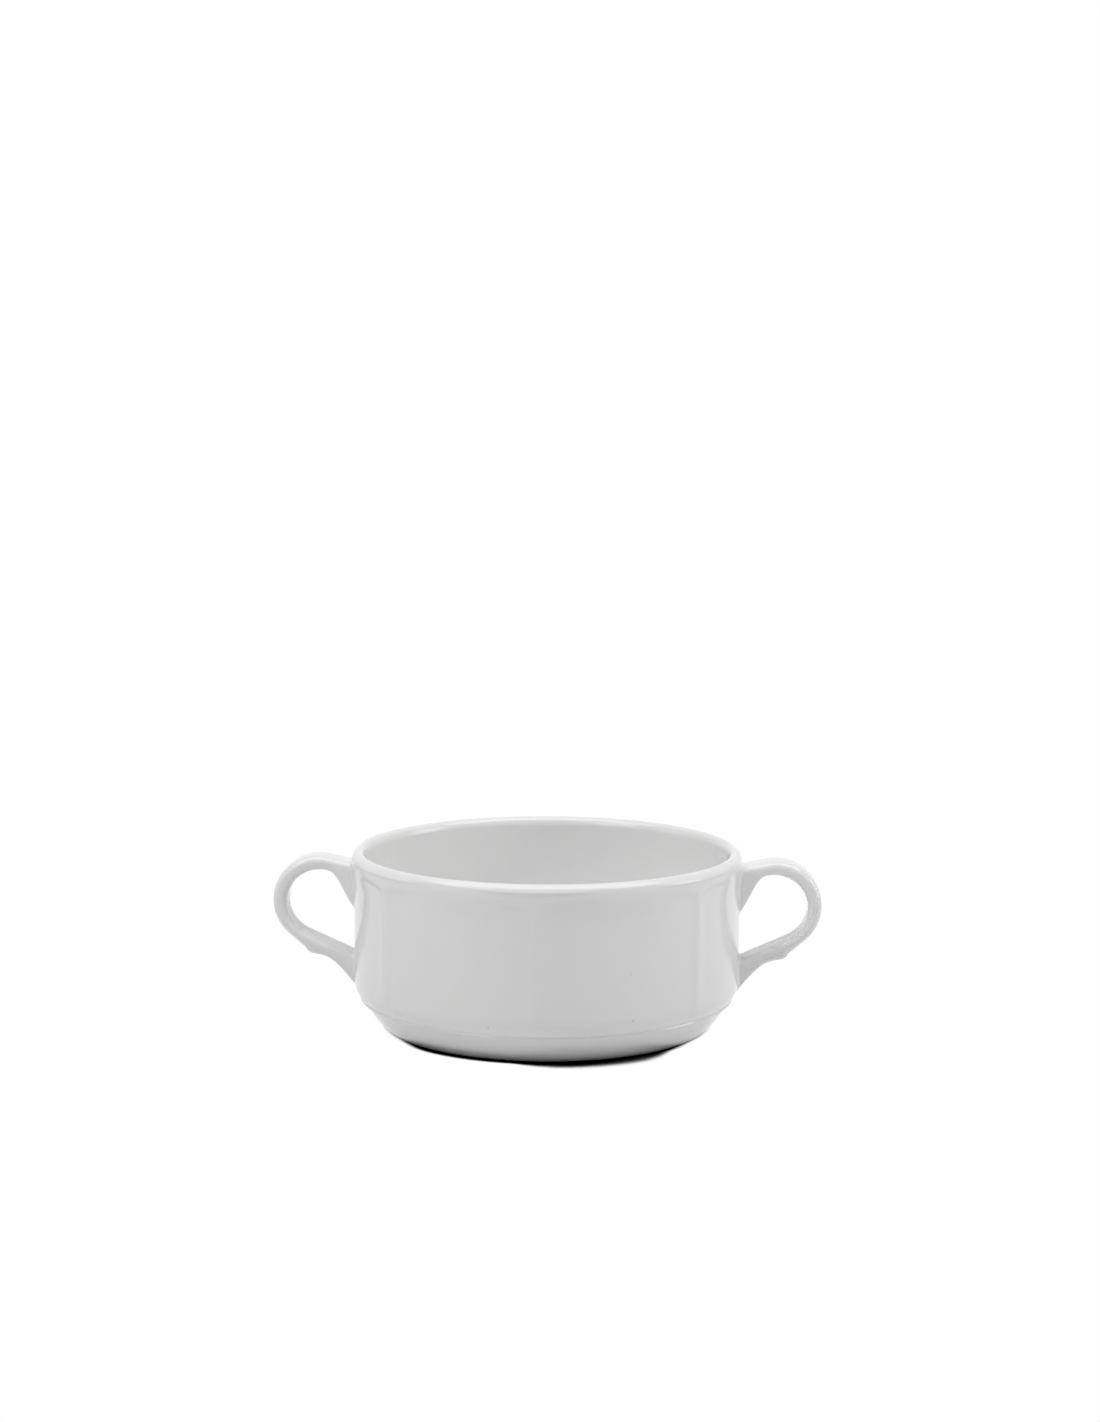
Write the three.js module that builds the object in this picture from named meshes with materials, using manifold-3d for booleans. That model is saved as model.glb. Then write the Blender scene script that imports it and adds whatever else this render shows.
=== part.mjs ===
import * as THREE from 'three';
import { mergeVertices } from 'three/addons/utils/BufferGeometryUtils.js';
import Module from 'manifold-3d';

// Consomme cup of white glazed porcelain: a thrown bowl with two cast loop handles that are
// stuck on with clay slip. Millimetres, +Z up. The origin is on the table under the middle of
// the foot, the handles point along -X and +X, and the front of the cup is -Y.

// Bowl
const cupHeight = 47.5; // table to the crest of the rim
const wallRadius = 51.8; // outside of the plain wall
const lipOverhang = 0.7; // the rolled lip stands this far proud of the wall
const lipThickness = 3.2; // across the lip
const lipCrown = 1.6; // height of the lip's round top
const lipHeight = 3.1; // crest down to the crease under the lip
const upperWall = 2.8; // wall thickness under the lip
const lowerWall = 3.8; // wall thickness above the floor
const floorThickness = 4.0;
const innerCorner = 11.0; // radius between floor and wall inside
const shoulderHeight = 12.6; // the wall starts to turn in here
const shoulderRadius = 6.6;
const shoulderTurn = THREE.MathUtils.degToRad(54);
const stepInset = 0.55; // stacking step, which drops into the rim of the cup below
const stepDrop = 0.5;
const footRadius = 43.6; // outside of the flat ring that stands on the table
const footRingWidth = 2.2;
const footEdge = 0.4; // softened edges of that ring
const footHollow = 0.3; // the band between step and ring is slightly hollow
const footRecess = 2.4; // hollow inside the ring
const recessDraft = 1.2; // slope of the hollow's side

// Relief on the outside: a raised band under the lip whose lower edge dips to a point at each
// soft rib, with the handles in the middle of a panel
const panelCount = 6;
const bandDepth = 4.8; // crest down to the band's lower edge
const bandSlope = 0.8; // height over which the band rises
const bandRelief = 0.25;
const cuspDrop = 1.6;
const cuspReach = 4.0;
const ribRelief = 0.12;
const ribHalfWidth = 2.5;
const ribFoot = 4.5; // a rib dies out this far above the shoulder

// Handles: a round loop on a web at the rim, and a straight leg with a heel and a flared tail
const fingerRadius = 9.0;
const loopOut = 9.2; // wall to the middle of the finger hole
const loopDrop = 15.1; // crest down to the middle of the finger hole
const strapThickness = 3.15; // at the thinnest, below the tip
const tipExtra = 0.6; // the strap is thicker at the tip
const topExtra = 0.7; // and at the top
const strapWidth = 9.4;
const strapEdge = 1.5; // rounding of the strap's edges
const edgeShare = 0.9; // the rounding stays within this share of a half side
const rootTopDrop = 4.2; // crest down to the top of the upper end
const webDrop = 16.5; // crest down to the lower tip of the web
const webTurn = THREE.MathUtils.degToRad(100); // the hole's round stretch ends here
const webEase = 2.9; // the web's inside keeps that direction this far
const webFlareOut = 3.4; // and comes down to the web's tip from here
const webFlareUp = 4.8;
const legLanding = 18.4; // table to the top of the leg at the wall
const heelOut = 3.5; // heel from the middle of the finger hole
const heelStand = 2.05; // heel below the loop's outside
const heelRise = 1.2;
const tailEase = 5.8; // how far the tail's curve keeps its direction at each end
const tailOverlap = 3.9; // the tail runs this far below the start of the shoulder
const rootDepth = 5.0; // length of the blank that is trimmed to the wall

// Slip joints between the handle ends and the wall
const slipThickness = 0.5;
const slipCollar = 0.4; // slip squeezed out round the end
const jointGap = 0.3;

// Facets
const segmentsPerPanel = 16;
const shoulderSteps = 6;
const lipSteps = 5;
const cornerSteps = 7;
const footSteps = 4;
const rootSteps = 10;
const loopSteps = 18;
const legSteps = 18;
const edgeSteps = 3;
const weldDistance = 1e-4;

const porcelain = { color: 0xf0f0ee, roughness: 0.12, metalness: 0.0 };
const bareSlip = { color: 0xe9e8e4, roughness: 0.3, metalness: 0.0 };

const wasm = await Module();
wasm.setup();

const rimRadius = wallRadius + lipOverhang;
const lipCentre = new THREE.Vector2(rimRadius - lipThickness / 2, cupHeight - lipCrown);
const creaseZ = cupHeight - lipHeight;
const bandZ = cupHeight - bandDepth;
const cuspZ = bandZ - cuspDrop;
const ribZ = shoulderHeight + ribFoot;
const shoulderCentre = new THREE.Vector2(wallRadius - shoulderRadius, shoulderHeight);
const floorZ = footRecess + floorThickness;

function arcPoints(centre, radiusX, radiusY, from, to, steps) {
  const arc = new THREE.EllipseCurve(centre.x, centre.y, radiusX, radiusY, from, to, to < from);
  return arc.getPoints(steps);
}

// Outside of the bowl from the stacking step to the crest of the rim
function outerOutline() {
  const halfSlope = bandSlope / 2;
  const bandRadius = wallRadius + bandRelief;
  const wallRows = [
    ribZ,
    (ribZ + cuspZ) / 2,
    cuspZ - bandSlope,
    cuspZ - halfSlope,
    cuspZ + halfSlope,
    bandZ - halfSlope,
  ];
  return [
    ...arcPoints(shoulderCentre, shoulderRadius, shoulderRadius, -shoulderTurn, 0, shoulderSteps),
    ...wallRows.map((z) => new THREE.Vector2(wallRadius, z)),
    new THREE.Vector2(wallRadius + bandRelief / 2, bandZ),
    new THREE.Vector2(bandRadius, bandZ + halfSlope),
    new THREE.Vector2(bandRadius + bandRelief / 2, creaseZ),
    ...arcPoints(lipCentre, lipThickness / 2, lipCrown, 0, Math.PI / 2, lipSteps),
  ];
}

// Underside from the middle of the hollow to the foot of the stacking step
function underOutline() {
  const ringInside = footRadius - footRingWidth;
  const step = outerOutline()[0];
  const bandTop = new THREE.Vector2(step.x - stepInset, step.y - stepDrop);
  const bandFoot = new THREE.Vector2(footRadius + footEdge, footEdge);
  const middle = bandTop.clone().lerp(bandFoot, 0.5);
  const aim = new THREE.Vector2(middle.x - footHollow, middle.y + footHollow);
  const band = new THREE.QuadraticBezierCurve(bandFoot, aim, bandTop);
  return [
    new THREE.Vector2(0, footRecess),
    new THREE.Vector2(ringInside - recessDraft, footRecess),
    new THREE.Vector2(ringInside - footEdge, footEdge),
    new THREE.Vector2(ringInside, 0),
    new THREE.Vector2(footRadius, 0),
    ...band.getPoints(footSteps),
  ];
}

// Inside from the crest of the rim to the middle of the floor
function innerOutline() {
  const corner = new THREE.Vector2(wallRadius - lowerWall - innerCorner, floorZ + innerCorner);
  return [
    ...arcPoints(lipCentre, lipThickness / 2, lipCrown, Math.PI / 2, Math.PI, lipSteps).slice(1),
    new THREE.Vector2(wallRadius - upperWall, bandZ),
    ...arcPoints(corner, innerCorner, innerCorner, 0, -Math.PI / 2, cornerSteps),
    new THREE.Vector2(0, floorZ),
  ];
}

function spin(points) {
  const geometry = new THREE.LatheGeometry(points, panelCount * segmentsPerPanel);
  return geometry.rotateX(Math.PI / 2);
}

// How far the relief lifts the wall at an angle round the cup and a height
function reliefAt(angle, z) {
  const panel = (2 * Math.PI) / panelCount;
  const fromFront = angle + Math.PI / 2;
  const turn = fromFront - Math.round(fromFront / panel) * panel;
  const aside = Math.abs(turn) * wallRadius;
  const edgeZ = bandZ - cuspDrop * Math.exp(-aside / cuspReach);
  const dipped = THREE.MathUtils.smoothstep(z, edgeZ - bandSlope / 2, edgeZ + bandSlope / 2);
  const level = THREE.MathUtils.smoothstep(z, bandZ - bandSlope / 2, bandZ + bandSlope / 2);
  const fade = THREE.MathUtils.smoothstep(z, ribZ, cuspZ);
  const rib = Math.exp(-((aside / ribHalfWidth) ** 2)) * fade * (1 - dipped);
  return bandRelief * (dipped - level) + ribRelief * rib;
}

function bowlGeometry() {
  const under = underOutline();
  const outer = outerOutline();
  const outline = [...under, ...outer, ...innerOutline()];
  const geometry = spin(outline);
  const position = geometry.attributes.position;
  for (let i = 0; i < position.count; i += 1) {
    const row = i % outline.length;
    const onWall = row >= under.length && row < under.length + outer.length;
    const z = position.getZ(i);
    if (onWall && z < creaseZ) {
      const angle = Math.atan2(position.getY(i), position.getX(i));
      const radius = Math.hypot(position.getX(i), position.getY(i)) + reliefAt(angle, z);
      position.setXY(i, radius * Math.cos(angle), radius * Math.sin(angle));
    }
  }
  geometry.computeVertexNormals();
  return geometry;
}

function toSolid(geometry) {
  geometry.deleteAttribute('normal');
  geometry.deleteAttribute('uv');
  const welded = mergeVertices(geometry, weldDistance);
  const triangles = [];
  for (let i = 0; i < welded.index.count; i += 3) {
    const corners = [welded.index.getX(i), welded.index.getX(i + 1), welded.index.getX(i + 2)];
    if (new Set(corners).size === 3) triangles.push(...corners);
  }
  return new wasm.Manifold(new wasm.Mesh({
    numProp: 3,
    vertProperties: welded.attributes.position.array,
    triVerts: Uint32Array.from(triangles),
  }));
}

function toGeometry(solid) {
  const { vertProperties, triVerts } = solid.getMesh();
  const geometry = new THREE.BufferGeometry();
  geometry.setAttribute('position', new THREE.BufferAttribute(vertProperties, 3));
  geometry.setIndex(new THREE.BufferAttribute(triVerts, 1));
  geometry.computeVertexNormals();
  return geometry;
}

// The bowl's outside, filled and grown by a distance
function grownBowl(distance) {
  const outer = outerOutline();
  const grown = outer.map((point, i) => {
    const before = outer[Math.max(i - 1, 0)];
    const after = outer[Math.min(i + 1, outer.length - 1)];
    const along = after.clone().sub(before).normalize();
    return new THREE.Vector2(point.x + along.y * distance, point.y - along.x * distance);
  });
  const bottom = new THREE.Vector2(0, grown[0].y);
  const top = new THREE.Vector2(0, grown[grown.length - 1].y);
  return toSolid(spin([bottom, ...grown, top]));
}

function onCircle(centre, radius, angle) {
  return new THREE.Vector2(centre.x + radius * Math.cos(angle), centre.y + radius * Math.sin(angle));
}

// Angle on a circle where a straight line from a point outside it touches
function touchAngle(centre, radius, point, side) {
  const away = point.clone().sub(centre);
  return Math.atan2(away.y, away.x) + side * Math.acos(radius / away.length());
}

// Side view of a handle, x from the cup's axis and y up: pairs of points on the outside and on the
// inside of the strap, from the upper end round the loop to the tail
function strapPairs() {
  const hole = new THREE.Vector2(wallRadius + loopOut, cupHeight - loopDrop);
  const loop = new THREE.Vector2(hole.x + tipExtra, hole.y + topExtra);
  const loopRadius = fingerRadius + strapThickness;
  const upperTop = new THREE.Vector2(wallRadius, cupHeight - rootTopDrop);
  const webTip = new THREE.Vector2(wallRadius, cupHeight - webDrop);
  const legTop = new THREE.Vector2(wallRadius, legLanding);
  const heel = new THREE.Vector2(hole.x + heelOut, loop.y - loopRadius - heelStand);
  const heelTop = new THREE.Vector2(heel.x + heelRise / 2, heel.y + heelRise);
  const tailX = shoulderCentre.x + Math.sqrt(shoulderRadius ** 2 - tailOverlap ** 2);
  const tail = new THREE.Vector2(tailX, shoulderHeight - tailOverlap);
  const topTouch = touchAngle(loop, loopRadius, upperTop, -1);
  const heelTouch = touchAngle(loop, loopRadius, heelTop, 1);
  const legTouch = touchAngle(hole, fingerRadius, legTop, 1);
  const webEnd = onCircle(hole, fingerRadius, webTurn);
  const webAim = onCircle(webEnd, webEase, webTurn + Math.PI / 2);

  const upperOutside = new THREE.Path([upperTop, onCircle(loop, loopRadius, topTouch)]);
  const upperInside = new THREE.Path().moveTo(webTip.x, webTip.y);
  upperInside.bezierCurveTo(
    webTip.x + webFlareOut, webTip.y + webFlareUp, webAim.x, webAim.y, webEnd.x, webEnd.y);
  upperInside.absarc(hole.x, hole.y, fingerRadius, webTurn, topTouch, topTouch < webTurn);

  const lowerOutside = new THREE.Path([onCircle(loop, loopRadius, heelTouch), heelTop]);
  lowerOutside.quadraticCurveTo(heel.x, heel.y, heel.x - heelRise, heel.y - heelRise / 3);
  const aimZ = heel.y - heelRise;
  lowerOutside.bezierCurveTo(heel.x - tailEase, aimZ, wallRadius + tailEase, aimZ, tail.x, tail.y);
  const lowerInside = new THREE.Path();
  lowerInside.absarc(hole.x, hole.y, fingerRadius, heelTouch, legTouch, true);
  lowerInside.lineTo(legTop.x, legTop.y);

  const pairs = [];
  const addPairs = (outside, inside) => outside.forEach((point, i) => pairs.push([point, inside[i]]));
  const root = wallRadius - rootDepth;
  addPairs([new THREE.Vector2(root, upperTop.y)], [new THREE.Vector2(root, webTip.y)]);
  addPairs(upperOutside.getSpacedPoints(rootSteps), upperInside.getSpacedPoints(rootSteps));
  for (let i = 1; i < loopSteps; i += 1) {
    const angle = THREE.MathUtils.lerp(topTouch, heelTouch, i / loopSteps);
    addPairs([onCircle(loop, loopRadius, angle)], [onCircle(hole, fingerRadius, angle)]);
  }
  addPairs(lowerOutside.getSpacedPoints(legSteps), lowerInside.getSpacedPoints(legSteps));
  addPairs([new THREE.Vector2(root, tail.y)], [new THREE.Vector2(root, legTop.y)]);
  return pairs;
}

// Round-edged section of the strap between a pair of points, grown all round by a distance
function strapSection([outside, inside], grow) {
  const middle = outside.clone().lerp(inside, 0.5);
  const across = outside.clone().sub(inside).normalize();
  const halfThickness = outside.distanceTo(inside) / 2 + grow;
  const halfWidth = strapWidth / 2 + grow;
  const edge = Math.min(strapEdge + grow, edgeShare * halfThickness, edgeShare * halfWidth);
  const section = [];
  for (let corner = 0; corner < 4; corner += 1) {
    const signA = corner === 0 || corner === 3 ? 1 : -1;
    const signB = corner < 2 ? 1 : -1;
    for (let i = 0; i <= edgeSteps; i += 1) {
      const angle = (corner + i / edgeSteps) * (Math.PI / 2);
      const a = signA * (halfThickness - edge) + edge * Math.cos(angle);
      const b = signB * (halfWidth - edge) + edge * Math.sin(angle);
      section.push([middle.x + across.x * a, b, middle.y + across.y * a]);
    }
  }
  return section;
}

// Closed strap through the pairs of points, grown all round by a distance
function strapBlank(pairs, grow) {
  const sections = pairs.map((pair) => strapSection(pair, grow));
  const size = sections[0].length;
  const triangles = [];
  for (let i = 1; i < sections.length; i += 1) {
    for (let j = 0; j < size; j += 1) {
      const a = (i - 1) * size + j;
      const b = (i - 1) * size + ((j + 1) % size);
      triangles.push(a, b + size, b, a, a + size, b + size);
    }
  }
  const last = (sections.length - 1) * size;
  for (let j = 1; j < size - 1; j += 1) {
    triangles.push(0, j, j + 1);
    triangles.push(last, last + j + 1, last + j);
  }
  const geometry = new THREE.BufferGeometry();
  geometry.setAttribute('position', new THREE.Float32BufferAttribute(sections.flat(2), 3));
  geometry.setIndex(triangles);
  return toSolid(geometry);
}

function mesh(name, geometry, look) {
  const piece = new THREE.Mesh(geometry, new THREE.MeshStandardMaterial(look));
  piece.name = name;
  return piece;
}

// One handle and its two slip joints, on the +X side
function handleGroup(side) {
  const pairs = strapPairs();
  const half = Math.floor(pairs.length / 2);
  const slipOutside = jointGap + slipThickness;
  const slipLayer = grownBowl(slipOutside).subtract(grownBowl(jointGap));
  const handle = strapBlank(pairs, 0).subtract(grownBowl(slipOutside + jointGap));
  const upperSlip = strapBlank(pairs.slice(0, half), slipCollar).intersect(slipLayer);
  const lowerSlip = strapBlank(pairs.slice(half), slipCollar).intersect(slipLayer);
  const group = new THREE.Group();
  group.add(mesh(`handle_${side}`, toGeometry(handle), porcelain));
  group.add(mesh(`slip_joint_${side}_upper`, toGeometry(upperSlip), bareSlip));
  group.add(mesh(`slip_joint_${side}_lower`, toGeometry(lowerSlip), bareSlip));
  return group;
}

const cup = new THREE.Group();
cup.add(mesh('cup_body', bowlGeometry(), porcelain));
cup.add(handleGroup('right'));
const left = handleGroup('left');
left.rotation.z = Math.PI;
cup.add(left);

export default cup;
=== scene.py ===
import cmath
import math

import bpy
from mathutils import Matrix, Vector


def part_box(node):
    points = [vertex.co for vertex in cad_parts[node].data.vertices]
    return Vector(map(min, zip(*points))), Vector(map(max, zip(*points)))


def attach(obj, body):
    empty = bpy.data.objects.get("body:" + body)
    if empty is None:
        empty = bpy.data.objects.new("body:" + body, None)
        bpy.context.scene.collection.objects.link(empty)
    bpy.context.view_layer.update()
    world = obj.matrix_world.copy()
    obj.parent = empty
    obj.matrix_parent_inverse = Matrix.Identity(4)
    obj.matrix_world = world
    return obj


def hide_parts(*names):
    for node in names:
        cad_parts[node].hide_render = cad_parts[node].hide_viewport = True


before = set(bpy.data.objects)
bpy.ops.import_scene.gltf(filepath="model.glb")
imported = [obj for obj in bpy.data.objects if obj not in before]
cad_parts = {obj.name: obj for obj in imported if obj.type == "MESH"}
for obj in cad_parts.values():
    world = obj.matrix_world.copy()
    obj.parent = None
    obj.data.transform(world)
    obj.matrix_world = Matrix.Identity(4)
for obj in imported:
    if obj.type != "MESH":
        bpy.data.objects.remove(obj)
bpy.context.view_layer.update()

# White porcelain consomme cup. Sizes are in millimetres, apart from the studio's, which are in metres, and
# angles are in degrees. The outlines are complex numbers: distance from the cup's axis as the real part,
# height above the table as the imaginary part.
mm = 0.001
fullTurn = 2 * math.pi
quarterTurn = math.pi / 2
samePlace = 1e-6  # points closer together than this are one
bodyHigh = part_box("cup_body")[1] / mm
handleLow, handleHigh = (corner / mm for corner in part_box("handle_right"))
rimRadius = bodyHigh.y
cupHeight = bodyHigh.z


def arc(centre, start, sweep, steps):
    return [centre + (start - centre) * cmath.exp(1j * sweep * i / steps) for i in range(steps + 1)]


# A quarter of an oval from its right-hand or left-hand side up to its top
def quarterOval(centre, wide, high, slope, steps):
    points = []
    for i in range(steps + 1):
        angle = quarterTurn * i / steps
        across = max(math.cos(angle), 0.0) ** slope
        points.append(centre + wide * across + 1j * high * math.sin(angle) ** slope)
    return points


def unit(number):
    return number / abs(number)


# A corner is a point and the radius that it is rounded to
def roundOff(corners, steps):
    points = [corners[0][0]]
    for (before, _), (corner, radius), (after, _) in zip(corners, corners[1:], corners[2:]):
        back = unit(before - corner)
        on = unit(after - corner)
        half = abs(cmath.phase(on / back)) / 2
        start = corner + back * radius / math.tan(half)
        end = corner + on * radius / math.tan(half)
        centre = corner + unit(back + on) * radius / math.sin(half)
        points += arc(centre, start, cmath.phase((end - centre) / (start - centre)), steps)
    return points + [corners[-1][0]]


def bezier(controls, steps):
    points = []
    for i in range(steps + 1):
        level = list(controls)
        while len(level) > 1:
            level = [a + (b - a) * i / steps for a, b in zip(level, level[1:])]
        points.append(level[0])
    return points


# Points at even distances along a line
def spaced(points, steps):
    lengths = [0.0]
    for a, b in zip(points, points[1:]):
        lengths.append(lengths[-1] + abs(b - a))
    found = []
    at = 0
    for i in range(steps + 1):
        wanted = lengths[-1] * i / steps
        while at < len(points) - 2 and lengths[at + 1] < wanted:
            at += 1
        share = (wanted - lengths[at]) / (lengths[at + 1] - lengths[at])
        found.append(points[at] + (points[at + 1] - points[at]) * min(share, 1.0))
    return found


def smooth(value, low, high):
    share = min(max((value - low) / (high - low), 0.0), 1.0)
    return share * share * (3 - 2 * share)


bowl = {
    "lipOverhang": 0.7,  # the rolled lip stands this far proud of the wall
    "lipOutside": 1.9,  # crest out to the widest part of the lip
    "lipInside": 1.9,  # crest in to the inside wall
    "lipCrown": 1.95,  # crest down to the widest part of the lip
    "lipInnerCrown": 2.6,
    "lipSlope": 1.4,  # 1 gives an elliptical lip, more a flatter slope down its outside
    "creaseDrop": 2.2,  # crest down to the crease under the lip
    "coveRadius": 0.35,
    "upperWall": 3.2,  # wall thickness under the lip
    "lowerWall": 3.8,  # and above the floor
    "innerDrop": 5.6,  # crest down to where the lip has run into the inside wall
    "innerBlend": 6.0,
    "innerCorner": 11.0,
    "floorHeight": 6.4,
    "shoulderHeight": 12.3,  # where the wall starts to turn in
    "shoulderRadius": 6.0,
    "shoulderTurn": 46.5,  # from there to the step
    "stepInset": 0.7,  # the foot starts this far in from the shoulder's edge
    "stepDrop": 0.5,
    "stepEdge": 0.1,
    "stepBead": 0.55,  # the shoulder's last edge stands up by this much
    "stepBeadReach": 0.2,
    "stepBeadBlend": 0.4,
    "footRadius": 43.7,
    "footRingWidth": 3.2,
    "footEdge": 2.8,  # radius of the edge outside the ring
    "ringEdge": 0.45,  # and inside it
    "footSwell": 0.8,  # the band between step and ring swells out
    "swellRadius": 20.0,
    "recessDepth": 2.4,
    "recessDraft": 1.2,
    "recessEdge": 0.8,
    "segments": 360,  # one to a degree, so that each rib has its own column of points
    "arcSteps": 8,
    "roundSteps": 16,  # in the larger rounds
    "skin": 1.0,  # rows this close to the wall's surface lie on its outside
    "finestRow": 0.2,  # row spacing over the relief
    "wallRow": 1.2,
    "flatRow": 3.0,
}

relief = {
    "ribAngles": (0.0, 51.0, 129.0, 180.0, 231.0, 309.0),  # degrees from the front
    "bandDrop": 4.4,  # crest down to the lower edge of the raised band
    "bandSlope": 2.2,
    "bandHeight": 0.65,
    "bandLean": 0.2,  # the band's face leans in by this much towards the crease
    "cuspDrop": 1.6,
    "cuspReach": 4.0,
    "ribHeight": 0.5,
    "ribHalfWidth": 2.0,
    "ribFoot": 9.5,  # height at which a rib has died out
    "ribFade": 6.0,
    "collarStart": 6.0,  # from here to each side of a rib, lip and band run together
    "collarFull": 17.0,  # into one rounded collar
    "collarTop": 1.3,  # crest down to where it leaves the lip's outline
    "collarDrop": 3.4,  # crest down to its widest part
    "collarShare": 0.95,  # of the lip's reach
    "collarSwell": 0.3,
    "collarEnd": 4.0,
    "collarFade": 6.0,
}

wallRadius = rimRadius - bowl["lipOverhang"]
crest = rimRadius - bowl["lipOutside"]
creaseHeight = cupHeight - bowl["creaseDrop"]
collarHigh = cupHeight - relief["collarTop"]
collarWide = cupHeight - relief["collarDrop"]
collarLow = cupHeight - relief["collarEnd"]
bandLow = cupHeight - relief["bandDrop"]
lipLow = cupHeight - bowl["lipCrown"]
reliefLow = collarLow - relief["collarFade"]
shoulderCentre = wallRadius - bowl["shoulderRadius"] + 1j * bowl["shoulderHeight"]
stepTurn = math.radians(bowl["shoulderTurn"])
beadTurn = stepTurn - bowl["stepBeadReach"] / bowl["shoulderRadius"]
blendTurn = beadTurn - bowl["stepBeadBlend"] / bowl["shoulderRadius"]


def onShoulder(turn, stand=0.0):
    return shoulderCentre + (bowl["shoulderRadius"] + stand) * cmath.exp(-1j * turn)


def underOutline():
    bandTop = onShoulder(stepTurn) - bowl["stepInset"] - 1j * bowl["stepDrop"]
    outside = bowl["footRadius"]
    inside = outside - bowl["footRingWidth"]
    swell = (bandTop + outside) / 2 + bowl["footSwell"] * (1 - 1j) / 2
    return roundOff([
        (1j * bowl["recessDepth"], 0),
        (inside - bowl["recessDraft"] + 1j * bowl["recessDepth"], bowl["recessEdge"]),
        (inside, bowl["ringEdge"]),
        (outside, bowl["footEdge"]),
        (swell, bowl["swellRadius"]),
        (bandTop, bowl["stepEdge"]),
        (onShoulder(stepTurn, bowl["stepBead"]), bowl["stepEdge"]),
        (onShoulder(beadTurn), bowl["stepEdge"]),
        (onShoulder(blendTurn), 0),
    ], bowl["arcSteps"])[:-1]


def outerOutline():
    steps = bowl["roundSteps"]
    shoulder = arc(shoulderCentre, onShoulder(blendTurn), blendTurn, steps)
    crease = roundOff([
        (wallRadius + 1j * reliefLow, 0),
        (wallRadius + 1j * creaseHeight, bowl["coveRadius"]),
        (rimRadius + 1j * lipLow, 0),
    ], bowl["arcSteps"])
    lip = quarterOval(crest + 1j * lipLow, bowl["lipOutside"], bowl["lipCrown"], bowl["lipSlope"], steps)
    return shoulder + crease + lip[1:]


def innerOutline():
    steps = bowl["roundSteps"]
    centre = crest + 1j * (cupHeight - bowl["lipInnerCrown"])
    lip = quarterOval(centre, -bowl["lipInside"], bowl["lipInnerCrown"], 1.0, steps)
    top = wallRadius - bowl["upperWall"] + 1j * (cupHeight - bowl["innerDrop"])
    side = wallRadius - bowl["lowerWall"]
    floor = 1j * bowl["floorHeight"]
    return lip[-2:0:-1] + roundOff([
        (lip[0], 0),
        (top, bowl["innerBlend"]),
        (side + floor, bowl["innerCorner"]),
        (floor, 0),
    ], steps)


# How far the lip's outline reaches out from its crest
def lipReach(height):
    sine = min((height - lipLow) / bowl["lipCrown"], 1.0) ** (1 / bowl["lipSlope"])
    return bowl["lipOutside"] * math.sqrt(1 - sine * sine) ** bowl["lipSlope"]


# The outside between the ribs
def collarRadius(height):
    if height > collarHigh:
        return crest + relief["collarShare"] * lipReach(height)
    edge = crest + relief["collarShare"] * lipReach(collarHigh)
    widest = edge + relief["collarSwell"]
    if height > collarWide:
        up = (height - collarWide) / (collarHigh - collarWide)
        return widest - relief["collarSwell"] * up * up
    return wallRadius + (widest - wallRadius) * smooth(height, reliefLow, collarLow)


# Radius of the outside with its relief, at an angle round the cup and a point of the plain outline
def outerRadius(angle, point):
    height = point.imag
    fromFront = math.degrees(angle) + 90  # the front is at -Y
    nearest = min(abs((fromFront - rib + 180) % 360 - 180) for rib in relief["ribAngles"])
    aside = math.radians(nearest) * wallRadius
    halfSlope = relief["bandSlope"] / 2
    edge = bandLow - relief["cuspDrop"] * math.exp(-aside / relief["cuspReach"])
    band = smooth(height, edge - halfSlope, edge + halfSlope)
    rib = math.exp(-(aside / relief["ribHalfWidth"]) ** 2) * (1 - band)
    rib *= smooth(height, relief["ribFoot"], relief["ribFoot"] + relief["ribFade"])
    upBand = min(max((height - bandLow) / (creaseHeight - bandLow), 0.0), 1.0)
    lift = (relief["bandHeight"] - relief["bandLean"] * upBand) * band + relief["ribHeight"] * rib
    radius = point.real + lift * (1 - smooth(height, creaseHeight, lipLow))
    if height < reliefLow:
        return radius
    share = smooth(aside, relief["collarStart"], relief["collarFull"])
    return radius + (collarRadius(height) - radius) * share


def wallReach(angle, height):
    drop = max(bowl["shoulderHeight"] - height, 0.0)
    reach = shoulderCentre.real + math.sqrt(max(bowl["shoulderRadius"] ** 2 - drop ** 2, 0.0))
    return outerRadius(angle, reach + 1j * height)


# Rows close enough together for the relief and for the rounds
def withRows(points, spacing):
    rows = [points[0]]
    for a, b in zip(points, points[1:]):
        steps = max(1, math.ceil(abs(b - a) / spacing((a + b) / 2)))
        rows += [a + (b - a) * (i + 1) / steps for i in range(steps)]
    return [b for a, b in zip([None] + rows, rows) if a is None or abs(b - a) > samePlace]


def makeMesh(name, points, faces):
    mesh = bpy.data.meshes.new(name)
    mesh.from_pydata([Vector(point) * mm for point in points], [], faces)
    mesh.validate()
    mesh.polygons.foreach_set("use_smooth", [True] * len(mesh.polygons))
    piece = bpy.data.objects.new(name, mesh)
    bpy.context.scene.collection.objects.link(piece)
    return piece


def bowlRow(point):
    onRelief = reliefLow < point.imag < lipLow and point.real > wallRadius - bowl["skin"]
    if onRelief:
        return bowl["finestRow"]
    onWall = point.real > bowl["footRadius"]
    return bowl["wallRow"] if onWall else bowl["flatRow"]


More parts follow.
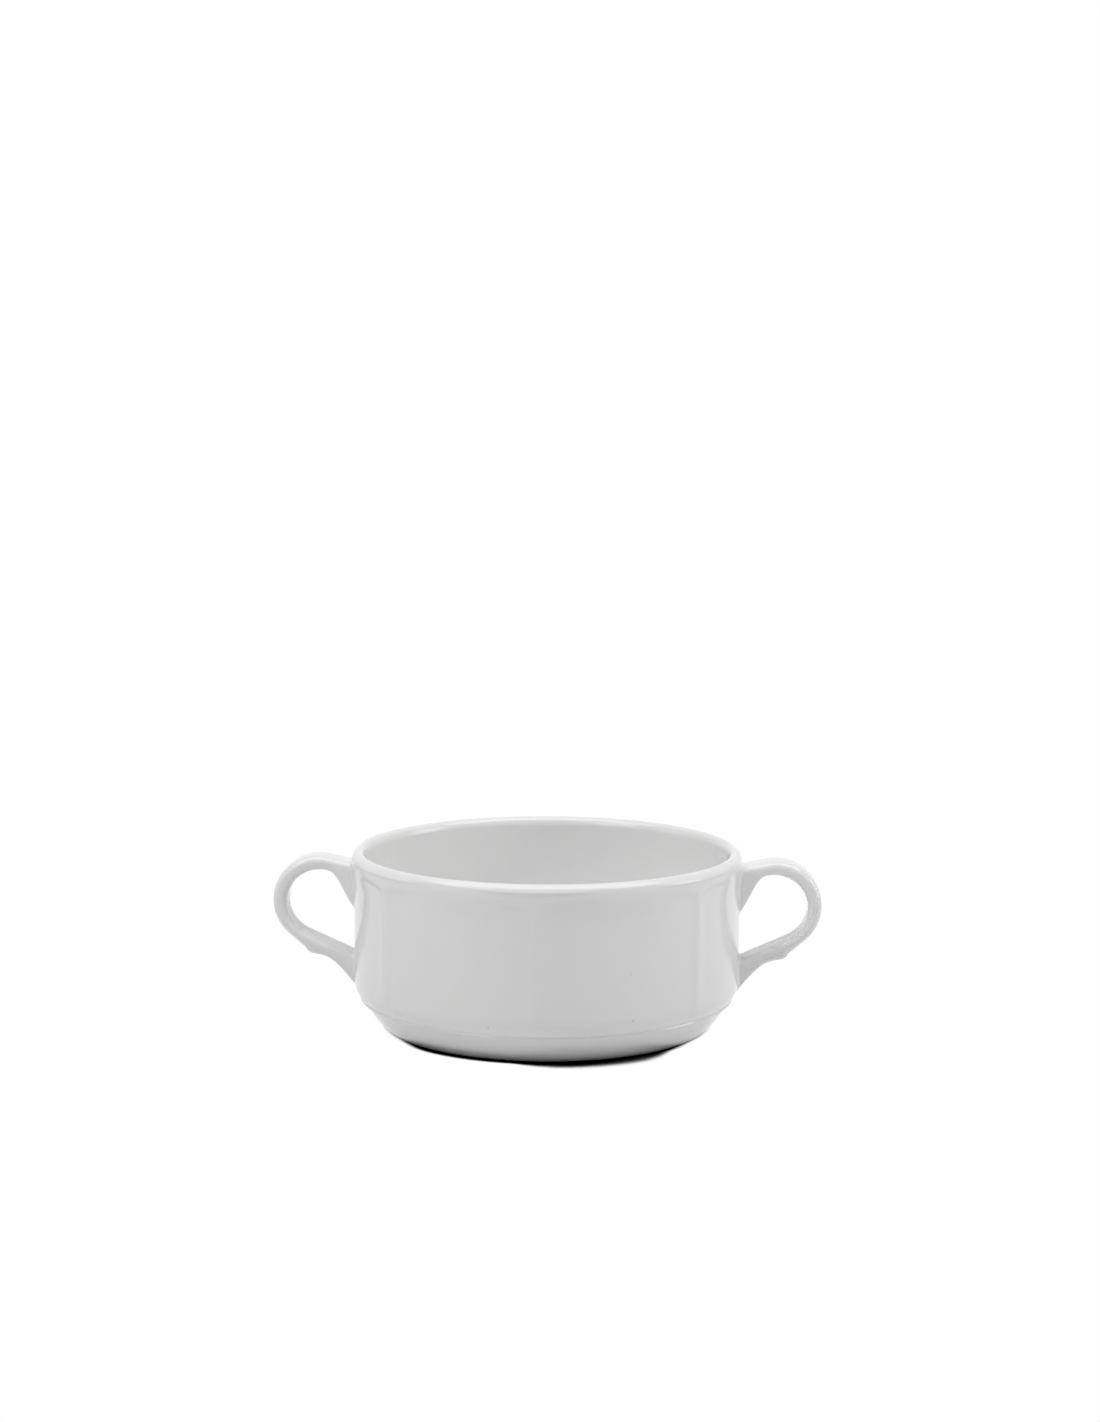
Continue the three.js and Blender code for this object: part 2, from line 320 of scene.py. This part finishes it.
def makeBowl():
    outside = withRows(underOutline() + outerOutline(), bowlRow)
    outline = outside + withRows(innerOutline(), bowlRow)
    rows = outline[1:-1]
    around = bowl["segments"]
    points = []
    for i, row in enumerate(rows):
        lifted = i < len(outside) - 1 and row.imag > relief["ribFoot"]
        for k in range(around):
            angle = fullTurn * k / around
            radius = outerRadius(angle, row) if lifted else row.real
            points.append((radius * math.cos(angle), radius * math.sin(angle), row.imag))
    faces = []
    for i in range(len(rows) - 1):
        for k in range(around):
            a = i * around + k
            b = i * around + (k + 1) % around
            faces.append((a, b, b + around, a + around))
    bottom = len(points)
    top = bottom + 1
    points += [(0, 0, outline[0].imag), (0, 0, outline[-1].imag)]
    last = (len(rows) - 1) * around
    for k in range(around):
        after = (k + 1) % around
        faces.append((bottom, after, k))
        faces.append((last + k, last + after, top))
    print("bowl:", len(rows), "rows,", len(faces), "faces")
    return makeMesh("bowl", points, faces)


handle = {
    "fingerRadius": 9.0,
    "loopOut": 9.2,  # wall to the middle of the finger hole
    "loopDrop": 15.1,  # crest down to it
    "strapThickness": 3.15,
    "tipExtra": 0.6,  # thicker by this much at the loop's tip
    "topExtra": 0.7,  # and at its top
    "edge": 1.5,  # radius of the strap's edges
    "edgeShare": 0.92,  # of half the thickness, at most
    "faceCrown": 0.16,  # the faces fall away by this much towards their edges
    "sideCrown": 0.22,
    "rootTopDrop": 4.2,  # crest down to the top of the strap at the wall
    "webDrop": 16.5,  # and to the tip of the web under it
    "webTurn": 104.0,  # where the web leaves the finger hole
    "webEase": 2.9,
    "webFlare": 3.4 + 4.8j,
    "legLanding": 18.4,  # height at which the leg's inside meets the wall
    "heelOut": 3.5,
    "heelStand": 2.05,
    "heelRise": 1.2,
    "heelLean": 0.6,
    "heelDip": 0.4,
    "tailEase": 5.8,
    "tailOverlap": 3.4,
    "rootDepth": 1.1,  # the ends reach this far into the wall
    "curveSteps": 160,
    "rootSteps": 40,
    "loopSteps": 72,
    "legSteps": 72,
    "edgeSteps": 7,
    "faceSteps": 6,
}


def touchAngle(centre, radius, point, side):
    away = point - centre
    return cmath.phase(away) + side * math.acos(radius / abs(away))


def circlePoints(centre, radius, start, end, steps):
    return arc(centre, centre + radius * cmath.exp(1j * start), end - start, steps)


# Pairs of points on the outside and the inside of the strap, from the upper end round to the tail
def strapPairs():
    wall = wallRadius
    hole = wall + handle["loopOut"] + 1j * (cupHeight - handle["loopDrop"])
    loop = hole + handle["tipExtra"] + 1j * handle["topExtra"]
    loopRadius = handle["fingerRadius"] + handle["strapThickness"]
    upperTop = wall + 1j * (cupHeight - handle["rootTopDrop"])
    webTip = wall + 1j * (cupHeight - handle["webDrop"])
    legTop = wall + 1j * handle["legLanding"]
    rise = handle["heelRise"]
    heel = hole.real + handle["heelOut"] + 1j * (loop.imag - loopRadius - handle["heelStand"])
    heelTop = heel + handle["heelLean"] + 1j * rise
    tailDrop = math.sqrt(bowl["shoulderRadius"] ** 2 - handle["tailOverlap"] ** 2)
    tail = shoulderCentre + tailDrop - 1j * handle["tailOverlap"]
    topTouch = touchAngle(loop, loopRadius, upperTop, -1)
    heelTouch = touchAngle(loop, loopRadius, heelTop, 1)
    legTouch = touchAngle(hole, handle["fingerRadius"], legTop, 1)
    webTurn = math.radians(handle["webTurn"])
    webEnd = hole + handle["fingerRadius"] * cmath.exp(1j * webTurn)
    webAim = webEnd + handle["webEase"] * 1j * cmath.exp(1j * webTurn)

    fine = handle["curveSteps"]
    upperOutside = [upperTop, loop + loopRadius * cmath.exp(1j * topTouch)]
    upperInside = bezier([webTip, webTip + handle["webFlare"], webAim, webEnd], fine)
    upperInside += circlePoints(hole, handle["fingerRadius"], webTurn, topTouch, fine)[1:]
    heelEnd = heel - rise - 1j * handle["heelDip"]
    aim = heel.imag * 1j - 1j * rise
    lowerOutside = [loop + loopRadius * cmath.exp(1j * heelTouch)]
    lowerOutside += bezier([heelTop, heel, heelEnd], fine)
    lowerOutside += bezier([
        heelEnd,
        heel.real - handle["tailEase"] + aim,
        wall + handle["tailEase"] + aim,
        tail,
    ], fine)[1:]
    lowerInside = circlePoints(hole, handle["fingerRadius"], heelTouch, legTouch, fine) + [legTop]

    inward = wall - handle["rootDepth"]
    pairs = [(inward + 1j * upperTop.imag, inward + 1j * webTip.imag)]
    rootSteps = handle["rootSteps"]
    pairs += zip(spaced(upperOutside, rootSteps), spaced(upperInside, rootSteps))
    loopSteps = handle["loopSteps"]
    rounds = [
        circlePoints(centre, radius, topTouch, heelTouch, loopSteps)[1:-1]
        for centre, radius in ((loop, loopRadius), (hole, handle["fingerRadius"]))
    ]
    pairs += zip(*rounds)
    legSteps = handle["legSteps"]
    pairs += zip(spaced(lowerOutside, legSteps), spaced(lowerInside, legSteps))
    inTail = tail.real - handle["rootDepth"]
    pairs.append((inTail + 1j * tail.imag, inward + 1j * legTop.imag))
    return pairs


# Round-edged, slightly crowned section of the strap between a pair of points
def strapSection(outside, inside):
    middle = (outside + inside) / 2
    across = unit(outside - inside)
    halfThick = abs(outside - inside) / 2
    halfWide = (handleHigh.y - handleLow.y) / 2
    edge = min(handle["edge"], handle["edgeShare"] * halfThick)
    corners = []
    for corner in range(4):
        quarter = cmath.exp(1j * corner * quarterTurn)
        signs = unit(quarter * (1 + 1j)) * math.sqrt(2)
        centre = signs.real * (halfThick - edge) + 1j * signs.imag * (halfWide - edge)
        corners.append(arc(centre, centre + edge * quarter, quarterTurn, handle["edgeSteps"]))
    section = []
    for corner, after in zip(corners, corners[1:] + corners[:1]):
        steps = handle["faceSteps"]
        a = corner[-1]
        section += corner + [a + (after[0] - a) * i / steps for i in range(1, steps)]
    points = []
    for p in section:
        thick = p.real * (1 - handle["faceCrown"] / halfThick * (p.imag / halfWide) ** 2)
        wide = p.imag * (1 - handle["sideCrown"] / halfWide * (p.real / halfThick) ** 2)
        spot = middle + across * thick
        points.append(Vector((spot.real, wide, spot.imag)))
    return points


# Turns a point on the right side of the cup to the side asked for
def toSide(point, side):
    return point if side > 0 else Vector((-point.x, -point.y, point.z))


def makeHandle(name, side, sections):
    size = len(sections[0])
    points = [toSide(point, side) for section in sections for point in section]
    faces = []
    for i in range(1, len(sections)):
        for j in range(size):
            a = (i - 1) * size + j
            b = (i - 1) * size + (j + 1) % size
            faces.append((a, a + size, b + size, b))
    last = (len(sections) - 1) * size
    faces.append(tuple(range(size)))
    faces.append(tuple(range(last + size - 1, last - 1, -1)))
    return makeMesh(name, points, faces)


fillet = {
    "reach": 1.1,  # along the handle and along the wall
    "sink": 0.03,  # the fillet's edges dip this far into handle and wall
    "root": 0.5,  # depth of its inner corner
    "steps": 8,
    "probe": 0.05,  # for the wall's slope
}


def outOfWall(point):
    return math.hypot(point.x, point.y) - wallReach(math.atan2(point.y, point.x), point.z)


def wallNormal(point):
    probe = fillet["probe"]
    steps = (Vector((probe, 0, 0)), Vector((0, probe, 0)), Vector((0, 0, probe)))
    return Vector([outOfWall(point + step) - outOfWall(point - step) for step in steps]).normalized()


# Where a line of points comes out of the wall, and the point a little further along it
def comeOut(line, reach):
    outs = [outOfWall(point) for point in line]
    at = next(i for i in range(1, len(line)) if outs[i - 1] < 0 <= outs[i])
    crossing = line[at - 1].lerp(line[at], outs[at - 1] / (outs[at - 1] - outs[at]))
    left = reach
    spot = crossing
    for after in line[at:]:
        length = (after - spot).length
        if length > left:
            return crossing, spot.lerp(after, left / length)
        left -= length
        spot = after


def makeFillet(name, side, sections):
    size = len(sections[0])
    ends = [comeOut([section[j] for section in sections], fillet["reach"]) for j in range(size)]
    middle = sum((crossing for crossing, _ in ends), Vector()) / size
    points = []
    for j, (crossing, onHandle) in enumerate(ends):
        normal = wallNormal(crossing)
        along = ends[(j + 1) % size][0] - ends[j - 1][0]
        outward = along.cross(normal).normalized()
        backwards = outward.dot(crossing - middle) < 0  # the section runs the other way round
        if backwards:
            outward = -outward
        onWall = crossing + outward * fillet["reach"]
        onWall -= wallNormal(onWall) * (outOfWall(onWall) + fillet["sink"])
        onHandle = onHandle - outward * fillet["sink"]
        ring = []
        for i in range(fillet["steps"] + 1):
            share = i / fillet["steps"]
            ring.append(onHandle.lerp(crossing, share).lerp(crossing.lerp(onWall, share), share))
        ring.append(crossing - (outward + normal) * fillet["root"])
        points += [toSide(point, side) for point in ring]
    count = fillet["steps"] + 2
    faces = []
    for j in range(size):
        after = (j + 1) % size
        for i in range(count):
            on = (i + 1) % count
            corners = (j * count + i, j * count + on, after * count + on, after * count + i)
            faces.append(corners[::-1] if backwards else corners)
    return makeMesh(name, points, faces)


body = makeBowl()
sections = [strapSection(outside, inside) for outside, inside in strapPairs()]
halfway = len(sections) // 2
pieces = [(body, "porcelain_body", "cup_body")]
for sideName, side in (("Right", 1), ("Left", -1)):
    nodeSide = sideName.lower()
    grip = makeHandle("handle" + sideName, side, sections)
    pieces.append((grip, "porcelain_handle", "handle_" + nodeSide))
    upper = makeFillet("upperSlip" + sideName, side, sections[:halfway])
    lower = makeFillet("lowerSlip" + sideName, side, sections[:halfway - 1:-1])
    pieces.append((upper, "slip", "slip_joint_" + nodeSide + "_upper"))
    pieces.append((lower, "slip", "slip_joint_" + nodeSide + "_lower"))
for piece, slotName, nodeName in pieces:
    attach(piece, "root")
    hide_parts(nodeName)
print("pieces:", ", ".join(piece.name for piece, _, _ in pieces))


class Wire:
    # an output socket of a node tree; sums on wires add Math nodes
    def __init__(self, tree, socket=None):
        self.tree = tree
        self.socket = socket

    def node(self, kind, settings, sockets, output=0):
        made = self.tree.nodes.new(kind)
        for name, value in settings.items():
            setattr(made, name, value)
        for name, value in sockets.items():
            if isinstance(value, Wire):
                self.tree.links.new(value.socket, made.inputs[name])
            else:
                made.inputs[name].default_value = value
        return Wire(self.tree, made.outputs[output] if len(made.outputs) else None)

    def sum(self, operation, first, second):
        return self.node("ShaderNodeMath", {"operation": operation}, {0: first, 1: second})

    def __add__(self, other):
        return self.sum("ADD", self, other)

    def __radd__(self, other):
        return self.sum("ADD", other, self)

    def __sub__(self, other):
        return self.sum("SUBTRACT", self, other)

    def __rsub__(self, other):
        return self.sum("SUBTRACT", other, self)

    def __mul__(self, other):
        return self.sum("MULTIPLY", self, other)

    def __rmul__(self, other):
        return self.sum("MULTIPLY", other, self)

    def dot(self, direction):
        settings = {"operation": "DOT_PRODUCT"}
        return self.node("ShaderNodeVectorMath", settings, {0: self, 1: direction}, "Value")

    def between(self, low, high):
        settings = {"interpolation_type": "SMOOTHSTEP"}
        return self.node("ShaderNodeMapRange", settings, {0: self, 1: low, 2: high, 3: 0.0, 4: 1.0})

    def tint(self, none, full):
        settings = {"data_type": "RGBA", "clamp_factor": True}
        return self.node("ShaderNodeMix", settings, {0: self, 6: none, 7: full}, 2)


def newMaterial(name):
    material = bpy.data.materials.new(name)
    material.use_nodes = True
    material.node_tree.nodes.clear()
    return material, Wire(material.node_tree)


glaze = {
    "white": (0.880, 0.880, 0.876, 1.0),
    "shade": (0.862, 0.863, 0.861, 1.0),  # where the glaze lies thicker
    "tonePatch": 22.0,  # patches per metre
    "toneDetail": 2.0,
    "toneRange": (0.42, 0.62),  # of the noise, from white to shade
    "peel": 620.0,  # orange peel, dimples per metre
    "peelDetail": 1.0,
    "peelDepth": 0.02,
    "roughness": 0.07,
    "scuff": 0.06,  # added to the roughness in scuffed patches
    "scuffPatch": 90.0,
    "scuffDetail": 6.0,
    "scuffRange": (0.35, 0.75),  # of the noise, from clean to scuffed
    "scuffMiddle": 0.5,
    "pinholeCells": 100.0,  # cells per metre, few of which have their pinhole at the surface
    "pinholeSize": 0.032,  # share of a cell
    "pinholeFloor": 1 / 3,  # share of the pinhole that has its full colour
    "pinhole": (0.56, 0.55, 0.53, 1.0),
    "bare": (0.66, 0.645, 0.61, 1.0),  # unglazed ring under the foot
    "bareHeight": 0.45,
    "bareWander": 0.5,  # the glaze's edge wanders with the scuffs
    "bareBlend": 0.05,
    "bareRoughness": 0.62,
    "ior": 1.5,
}


def noise(start, place, scale, detail):
    return start.node("ShaderNodeTexNoise", {}, {"Vector": place, "Scale": scale, "Detail": detail})


def porcelain(name):
    material, start = newMaterial(name)
    place = start.node("ShaderNodeTexCoord", {}, {}, "Object")
    tone = noise(start, place, glaze["tonePatch"], glaze["toneDetail"])
    peel = noise(start, place, glaze["peel"], glaze["peelDetail"])
    scuff = noise(start, place, glaze["scuffPatch"], glaze["scuffDetail"])
    grid = {"Vector": place, "Scale": glaze["pinholeCells"]}
    cells = start.node("ShaderNodeTexVoronoi", {}, grid, "Distance")
    pinhole = cells.between(glaze["pinholeSize"], glaze["pinholeSize"] * glaze["pinholeFloor"])
    height = start.node("ShaderNodeSeparateXYZ", {}, {0: place}, 2)
    edge = (glaze["bareHeight"] + (scuff - glaze["scuffMiddle"]) * glaze["bareWander"]) * mm
    blend = glaze["bareBlend"] * mm
    bare = (height - edge).between(blend, -blend)
    glazeTone = tone.between(*glaze["toneRange"]).tint(glaze["white"], glaze["shade"])
    colour = bare.tint(pinhole.tint(glazeTone, glaze["pinhole"]), glaze["bare"])
    rough = glaze["roughness"] + glaze["scuff"] * scuff.between(*glaze["scuffRange"])
    dimples = {"Strength": glaze["peelDepth"], "Distance": mm, "Height": peel}
    bump = start.node("ShaderNodeBump", {}, dimples)
    shader = start.node("ShaderNodeBsdfPrincipled", {}, {
        "Base Color": colour,
        "Roughness": rough + bare * (glaze["bareRoughness"] - glaze["roughness"]),
        "IOR": glaze["ior"],
        "Normal": bump,
    })
    start.node("ShaderNodeOutputMaterial", {}, {"Surface": shader})
    return material


glazed = porcelain("glazedPorcelain")
for piece, _, _ in pieces:
    piece.data.materials.append(glazed)
print("finish:", glazed.name)


white = (1.0, 1.0, 1.0, 1.0)
black = (0.0, 0.0, 0.0, 1.0)

studio = {
    "table": 3.0,  # across
    "tableWhite": (0.95, 0.95, 0.95, 1.0),
    "tableNearPaintedShade": (0.75, 0.75, 0.75, 1.0),  # painted shade round the cup, which dims the light that the table throws back onto it
    "paintedNearShadeReach": (0.05, 0.12),  # the painted shade fades out between these distances from the cup's axis
    "paintedUnderReach": 0.004,  # of the painted dark line on the table under the foot's edge, which darkens the light the foot gets back
    "paintedUnderEdge": (0.3, 0.85),  # share of open sky, from black painted shade to the table's colour
    "paintedUnderSamples": 4,
    # Painted shadow on the table: black to the eye where occlusion round the foot finds little open sky
    "paintedShadowReach": 0.003,
    "paintedShadowExtra": 0.0062,  # more reach where the painted shadow is deepest
    "paintedShadowEdge": (0.40, 0.60),  # share of open sky, from black painted shadow to white
    "paintedShadowSamples": 16,
    "paintedShadowFront": (0.01, -1.0, 0.0),  # the painted shadow lies on this side of the foot and behind it
    "frontRange": (0.19, 0.64),  # squared cosine to that line, from the sides to the full painted shadow
    "sideFade": 0.34,  # share of open sky added at the sides, where the painted shadow is fainter
    "paintedShadowThick": (0.342, -0.94, 0.0),  # the painted shadow is deepest on this side
    "thickRange": (0.87, 1.0),  # cosine to it
    "dome": 0.165,  # light from all round
    "lamps": {
        "overhead": {"place": (0.0, -0.12, 1.0), "width": 1.8, "depth": 0.6, "power": 8.9},
        "frontLeft": {"place": (-0.65, -0.6, 0.6), "width": 0.45, "depth": 0.45, "power": 1.5},
        "left": {"place": (-0.95, 0.0, 0.3), "width": 0.4, "depth": 0.5, "power": 0.26},
        "right": {"place": (0.95, 0.0, 0.3), "width": 0.4, "depth": 0.5, "power": 1.85},
    },
}


# 1 to the eye and in reflections, where the surroundings are white, and 0 to the light on the cup
def seen(start):
    eye = start.node("ShaderNodeLightPath", {}, {}, "Is Camera Ray")
    glossy = start.node("ShaderNodeLightPath", {}, {}, "Is Glossy Ray")
    return eye + glossy


def occlusion(start, samples, reach):
    return start.node("ShaderNodeAmbientOcclusion", {"samples": samples}, {"Distance": reach}, "AO")


def makeTable():
    half = studio["table"] / 2
    mesh = bpy.data.meshes.new("table")
    corners = [(-half, -half, 0), (half, -half, 0), (half, half, 0), (-half, half, 0)]
    mesh.from_pydata(corners, [], [(0, 1, 2, 3)])
    table = bpy.data.objects.new("table", mesh)
    bpy.context.scene.collection.objects.link(table)
    material, start = newMaterial("tableWithPaintedShadow")
    place = start.node("ShaderNodeTexCoord", {}, {}, "Object")
    outward = start.node("ShaderNodeVectorMath", {"operation": "NORMALIZE"}, {0: place})
    # To the eye the table is white, with a shadow painted into its emission colour round the foot
    facing = outward.dot(studio["paintedShadowFront"])
    front = (facing * facing).between(*studio["frontRange"])
    thick = outward.dot(studio["paintedShadowThick"]).between(*studio["thickRange"])
    reach = studio["paintedShadowReach"] + thick * studio["paintedShadowExtra"]
    paintedShadowSky = occlusion(start, studio["paintedShadowSamples"], reach)
    outsidePaintedShadow = (paintedShadowSky + (1.0 - front) * studio["sideFade"]).between(*studio["paintedShadowEdge"])
    shown = start.node("ShaderNodeEmission", {}, {"Color": outsidePaintedShadow.tint(black, white), "Strength": 1.0})
    # Painted shade in the table's colour round the cup, standing in for the table's shadow
    away = start.node("ShaderNodeVectorMath", {"operation": "LENGTH"}, {0: place}, "Value")
    paleWithPaintedNearShade = away.between(*studio["paintedNearShadeReach"]).tint(studio["tableNearPaintedShade"], studio["tableWhite"])
    # Painted shade in the table's colour under the foot's edge, so that the foot gets little light back
    paintedUnderShade = occlusion(start, studio["paintedUnderSamples"], studio["paintedUnderReach"])
    tableWithPaintedShade = paintedUnderShade.between(*studio["paintedUnderEdge"]).tint(black, paleWithPaintedNearShade)
    lit = start.node("ShaderNodeBsdfDiffuse", {}, {"Color": tableWithPaintedShade})
    mixed = start.node("ShaderNodeMixShader", {}, {0: seen(start), 1: lit, 2: shown})
    start.node("ShaderNodeOutputMaterial", {}, {"Surface": mixed})
    mesh.materials.append(material)


def makeWorld():
    world = bpy.data.worlds.new("studio")
    bpy.context.scene.world = world
    world.use_nodes = True
    world.node_tree.nodes.clear()
    start = Wire(world.node_tree)
    shown = start.node("ShaderNodeBackground", {}, {"Color": white, "Strength": 1.0})
    dome = start.node("ShaderNodeBackground", {}, {"Color": white, "Strength": studio["dome"]})
    mixed = start.node("ShaderNodeMixShader", {}, {0: seen(start), 1: dome, 2: shown})
    start.node("ShaderNodeOutputWorld", {}, {"Surface": mixed})


def makeLamps():
    aim = Vector((0, 0, cupHeight * mm / 2))
    for name, size in studio["lamps"].items():
        light = bpy.data.lights.new(name, "AREA")
        light.shape = "RECTANGLE"
        light.size = size["width"]
        light.size_y = size["depth"]
        light.energy = size["power"]
        lamp = bpy.data.objects.new(name, light)
        lamp.location = size["place"]
        lamp.rotation_euler = (aim - lamp.location).to_track_quat("-Z", "Y").to_euler()
        bpy.context.scene.collection.objects.link(lamp)


view = {
    "distance": 700.0,  # from the cup's axis
    "height": 175.7,
    "around": 2.7,  # degrees to the right of the cup's front
    "down": 7.41,
    "roll": 0.2,
    "lens": 66.9,
    "sensor": 36.0,
    "sideShift": 0.00176,  # share of the picture
    "nearest": 10.0,
}


def makeCamera():
    camera = bpy.data.objects.new("camera", bpy.data.cameras.new("camera"))
    camera.data.lens = view["lens"]
    camera.data.sensor_width = view["sensor"]
    camera.data.shift_x = view["sideShift"]
    camera.data.clip_start = view["nearest"] * mm
    around = Matrix.Rotation(math.radians(view["around"]), 4, "Z")
    down = Matrix.Rotation(math.radians(90 - view["down"]), 4, "X")
    roll = Matrix.Rotation(math.radians(view["roll"]), 4, "Z")
    place = Matrix.Translation((0, -view["distance"] * mm, view["height"] * mm))
    camera.matrix_world = around @ place @ down @ roll
    bpy.context.scene.collection.objects.link(camera)
    bpy.context.scene.camera = camera


makeTable()
makeWorld()
makeLamps()
makeCamera()
bpy.context.scene.view_settings.view_transform = "Standard"
print("studio:", ", ".join(studio["lamps"]))
